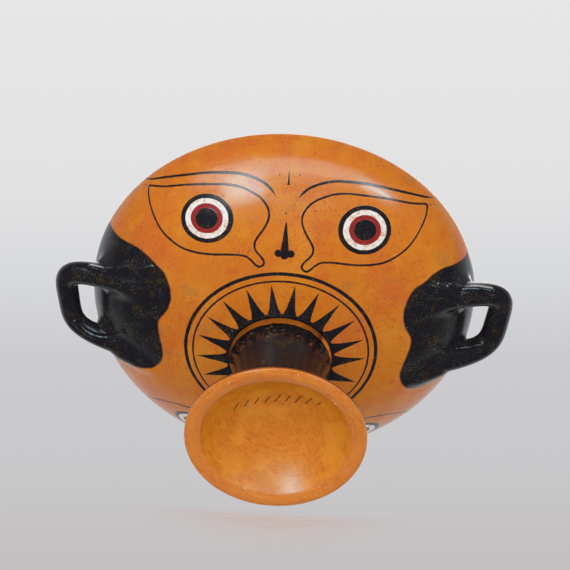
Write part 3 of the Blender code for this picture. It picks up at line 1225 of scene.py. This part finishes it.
floor_finish, floor_tree, floor_mix = see_through("pale_floor", fired(226, 226, 226))
back_side = plug(floor_tree, "ShaderNodeNewGeometry", {}).outputs["Backfacing"]
feed(floor_tree, floor_mix.inputs[0], back_side)
half = FLOOR_SIZE / 2
sheet_of("floor", [(-half, -half, FLOOR_LEVEL), (half, -half, FLOOR_LEVEL),
                   (half, half, FLOOR_LEVEL), (-half, half, FLOOR_LEVEL)], floor_finish)

contact = Vector((0.0, FOOT_RADIUS * MM, 0.0))
# The warm colour of this sheet, most opaque next to the foot, is a painted warm glow.
painted_glow_finish, table_tree, table_mix = see_through("painted_glow_table", fired(222, 206, 198))
table_place = plug(table_tree, "ShaderNodeTexCoord", {}).outputs["Object"]
reach = vector_maths(table_tree, "DISTANCE", table_place, contact).outputs["Value"]
painted_glow_fade = map_range(table_tree, reach, 0.0, GLOW_REACH, start=TABLE_CLEAR)
table_height = plug(table_tree, "ShaderNodeSeparateXYZ", {0: table_place}).outputs[2]
edge_fade = map_range(table_tree, table_height, -0.03, -0.003)
feed(table_tree, table_mix.inputs[0], maths(table_tree, "MAXIMUM", painted_glow_fade, edge_fade))
top_edge = contact - TABLE_LEAN * 0.001
across = Vector((TABLE_SPAN, 0, 0))
down = TABLE_LEAN * TABLE_SPAN
sheet_of("table", [top_edge - across, top_edge + across, top_edge + across - down,
                   top_edge - across - down], painted_glow_finish)
print("floor and table placed")

# %% [markdown]
# ## Light
#
# The photograph has soft even light from all sides, a window whose reflection lies across the
# forehead of the painted face, and a brighter backdrop at the top. The backdrop's colours are
# seen by the camera. Reflections see a dark room with a pale wall behind the cup, or the
# polished clay would look milky.

# %% Backdrop and room
ROOM_LIGHT = 0.62
DARK_SIDE = 0.04
PALE_SIDE = 0.7

world = bpy.data.worlds.new("studio")
bpy.context.scene.world = world
world.use_nodes = True
sky = world.node_tree
sky.nodes.clear()


def look_along(direction):
    """How far a ray into the sky points along a direction, from -1 to 1."""
    ray = plug(sky, "ShaderNodeTexCoord", {}).outputs["Generated"]
    return vector_maths(sky, "DOT_PRODUCT", ray, direction).outputs["Value"]


def sky_light(colour, strength=1.0):
    """Light of the sky with a colour and a strength."""
    return plug(sky, "ShaderNodeBackground", {"Color": colour, "Strength": strength})


height = map_range(sky, look_along(VIEW_UP), -0.15, 0.15, kind="LINEAR")
backdrop = plug(sky, "ShaderNodeValToRGB", {0: height})
stops = backdrop.color_ramp.elements
stops[0].color = fired(196, 190, 190)
stops[1].color = fired(231, 231, 231)
for position, tone in ((0.1, (197, 194, 195)), (0.2, (200, 200, 202)), (0.38, (203, 203, 206)),
                       (0.52, (216, 217, 219)), (0.66, (226, 226, 227))):
    stops.new(position).color = fired(*tone)
room = sky_light((1.0, 0.99, 0.98, 1.0), ROOM_LIGHT)
pale_wall = map_range(sky, look_along(VIEW_ALONG), 0.1, 0.75, DARK_SIDE, PALE_SIDE)
dark_room = sky_light((0.92, 0.96, 1.0, 1.0), pale_wall)
rays_seen = plug(sky, "ShaderNodeLightPath", {})
glossy_mix = plug(sky, "ShaderNodeMixShader",
                  {0: rays_seen.outputs["Is Glossy Ray"], 1: room, 2: dark_room})
camera_mix = plug(sky, "ShaderNodeMixShader",
                  {0: rays_seen.outputs["Is Camera Ray"], 1: glossy_mix, 2: sky_light(backdrop)})
plug(sky, "ShaderNodeOutputWorld", {"Surface": camera_mix})
print("backdrop with", len(stops), "tones")

# %% Soft boxes
WINDOW_COLOUR = (0.66, 0.88, 1.0)
CUP_MIDDLE = Vector((0.0, 0.0, 0.06))


def soft_box(name, direction, distance, wide, high, power, up=(0, 0, 1)):
    """A rectangular lamp that faces the cup."""
    lamp = bpy.data.lights.new(name, "AREA")
    lamp.shape = "RECTANGLE"
    lamp.size = wide
    lamp.size_y = high
    lamp.energy = power
    thing = placed_object(name, lamp)
    away = Vector(direction).normalized()
    across = Vector(up).cross(away).normalized()
    aim(thing, CUP_MIDDLE + away * distance, -away, across, away.cross(across))
    return thing


for name, direction, wide, high, power in (
        ("window_strip", (-0.1, -0.95, -0.2), 2.0, 0.4, 13.0),
        ("window_left", (-0.37, -0.75, -0.48), 0.38, 0.5, 8.0),
        ("window_right", (0.68, -0.7, -0.16), 0.3, 0.2, 3.4)):
    window = soft_box(name, direction, 1.1, wide, high, power)
    window.data.color = WINDOW_COLOUR
    window.visible_diffuse = False
front_fill = soft_box("front_fill", (-0.08, -0.77, -0.63), 1.2, 1.4, 0.9, 9.8)
front_fill.visible_glossy = False
soft_box("overhead_box", (0.1, 0.1, 1.0), 1.3, 1.2, 1.2, 9.0, up=(0, 1, 0))
bpy.context.scene.view_settings.view_transform = "Standard"
bpy.context.scene.view_settings.look = "None"
print("three window lamps, a front fill and an overhead box")
